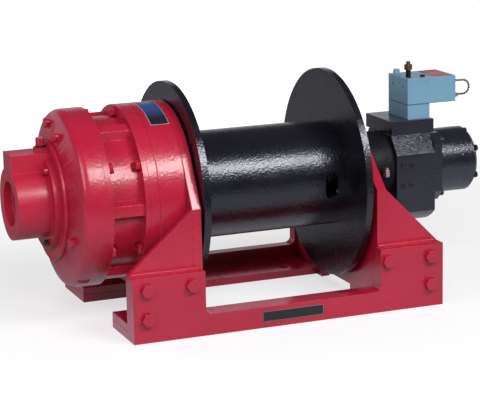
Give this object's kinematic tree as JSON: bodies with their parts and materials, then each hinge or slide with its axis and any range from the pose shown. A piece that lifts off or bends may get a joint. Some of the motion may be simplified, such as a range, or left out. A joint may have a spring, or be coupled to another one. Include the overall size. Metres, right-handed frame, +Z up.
{
  "type": "hydraulic winch",
  "caption": "Hydraulic drum winch: flanged rope drum in a bolted base frame, planetary gearbox and clutch at one end, brake, motor and valve block at the other.",
  "frame": {"origin": "centre of the four base bolt holes, on the underside of the base", "axes": "+X along the drum from the gearbox to the motor, +Z up, +Y to the rear"},
  "size_m": [0.9483, 0.458, 0.44],
  "materials": {
    "red_paint": "gloss paint",
    "black_paint": "gloss paint on castings",
    "blue_coat": "satin anodised or painted blocks",
    "steel": "machined",
    "gear_steel": "hardened and ground",
    "bronze": "machined bronze and brass",
    "black_steel": "black oxide screws",
    "zinc": "bright plated",
    "seal_rubber": "matt",
    "tag": "pale tag"
  },
  "bodies": {
    "frame": {"front_rail": "red_paint", "rear_rail": "red_paint", "left_end_plate": "red_paint", "right_end_plate": "red_paint", "gussets": "red_paint", "foot_pads": "red_paint", "weld_beads": "red_paint", "rail_bolts": "red_paint", "rail_nuts": "red_paint", "drum_support": "red_paint", "ring_gear": "red_paint", "case_bolts": "red_paint", "end_cover": "red_paint", "cover_plugs": "red_paint", "retainer_plate": "red_paint", "clutch_housing": "red_paint", "port_plug": "red_paint", "brake_housing": "black_paint", "motor_adapter": "black_paint", "adapter_plate": "black_paint", "manifold_block": "black_paint", "motor_flange": "black_paint", "motor_body": "black_paint", "motor_end_cap": "black_paint", "hub_screws": "black_steel", "brake_screws": "black_steel", "adapter_plugs": "black_steel", "motor_bolts": "black_steel", "valve_lower": "blue_coat", "valve_upper": "blue_coat", "clutch_springs": "steel", "drum_spigot": "steel", "brake_plates": "steel", "brake_springs": "steel", "carrier_bush": "bronze", "valve_fittings": "bronze", "seal_chain": "bronze", "brake_fitting": "zinc", "port_washer": "seal_rubber", "wire_tag": "tag"},
    "drum_body": {"drum": "black_paint", "drive_hub": "black_paint", "drum_bush": "bronze", "anchor_screw": "steel", "output_carrier": "steel"},
    "output_gear_1": {"output_planet_1": "gear_steel"},
    "output_gear_2": {"output_planet_2": "gear_steel"},
    "output_gear_3": {"output_planet_3": "gear_steel"},
    "middle_carrier": {"input_carrier": "steel", "output_sun": "gear_steel"},
    "input_gear_1": {"input_planet_1": "gear_steel"},
    "input_gear_2": {"input_planet_2": "gear_steel"},
    "input_gear_3": {"input_planet_3": "gear_steel"},
    "drive_shaft": {"input_shaft": "gear_steel", "brake_discs": "bronze", "motor_rotor": "gear_steel", "motor_vanes": "gear_steel"},
    "clutch_slider": {"clutch_piston": "red_paint", "piston_seal": "seal_rubber"},
    "brake_slider": {"brake_piston": "steel"}
  },
  "joints": [
    {"name": "drum_turn", "type": "hinge", "parent": "frame", "child": "drum_body", "pos_m": [0, 0, 0.232], "axis": [1, 0, 0], "continuous": true},
    {"name": "middle_carrier_turn", "type": "hinge", "parent": "frame", "child": "middle_carrier", "pos_m": [0, 0, 0.232], "axis": [1, 0, 0], "continuous": true},
    {"name": "shaft_turn", "type": "hinge", "parent": "frame", "child": "drive_shaft", "pos_m": [0, 0, 0.232], "axis": [1, 0, 0], "continuous": true},
    {"name": "output_gear_1_turn", "type": "hinge", "parent": "drum_body", "child": "output_gear_1", "pos_m": [-0.274, 0, 0.316], "axis": [1, 0, 0], "continuous": true},
    {"name": "input_gear_1_turn", "type": "hinge", "parent": "middle_carrier", "child": "input_gear_1", "pos_m": [-0.317, 0, 0.316], "axis": [1, 0, 0], "continuous": true},
    {"name": "output_gear_2_turn", "type": "hinge", "parent": "drum_body", "child": "output_gear_2", "pos_m": [-0.274, -0.07275, 0.19], "axis": [1, 0, 0], "continuous": true},
    {"name": "input_gear_2_turn", "type": "hinge", "parent": "middle_carrier", "child": "input_gear_2", "pos_m": [-0.317, -0.07275, 0.19], "axis": [1, 0, 0], "continuous": true},
    {"name": "output_gear_3_turn", "type": "hinge", "parent": "drum_body", "child": "output_gear_3", "pos_m": [-0.274, 0.07275, 0.19], "axis": [1, 0, 0], "continuous": true},
    {"name": "input_gear_3_turn", "type": "hinge", "parent": "middle_carrier", "child": "input_gear_3", "pos_m": [-0.317, 0.07275, 0.19], "axis": [1, 0, 0], "continuous": true},
    {"name": "clutch_slide", "type": "slide", "parent": "frame", "child": "clutch_slider", "axis": [-1, 0, 0], "range_m": [0, 0.01]},
    {"name": "brake_slide", "type": "slide", "parent": "frame", "child": "brake_slider", "axis": [1, 0, 0], "range_m": [0, 0.0015]}
  ],
  "couplings": [
    {"joint": "middle_carrier_turn", "follows": "drum_turn", "ratio": 4.6667},
    {"joint": "shaft_turn", "follows": "drum_turn", "ratio": 21.778},
    {"joint": "output_gear_1_turn", "follows": "drum_turn", "ratio": -2.75},
    {"joint": "input_gear_1_turn", "follows": "drum_turn", "ratio": -12.833},
    {"joint": "output_gear_2_turn", "follows": "drum_turn", "ratio": -2.75},
    {"joint": "input_gear_2_turn", "follows": "drum_turn", "ratio": -12.833},
    {"joint": "output_gear_3_turn", "follows": "drum_turn", "ratio": -2.75},
    {"joint": "input_gear_3_turn", "follows": "drum_turn", "ratio": -12.833}
  ]
}
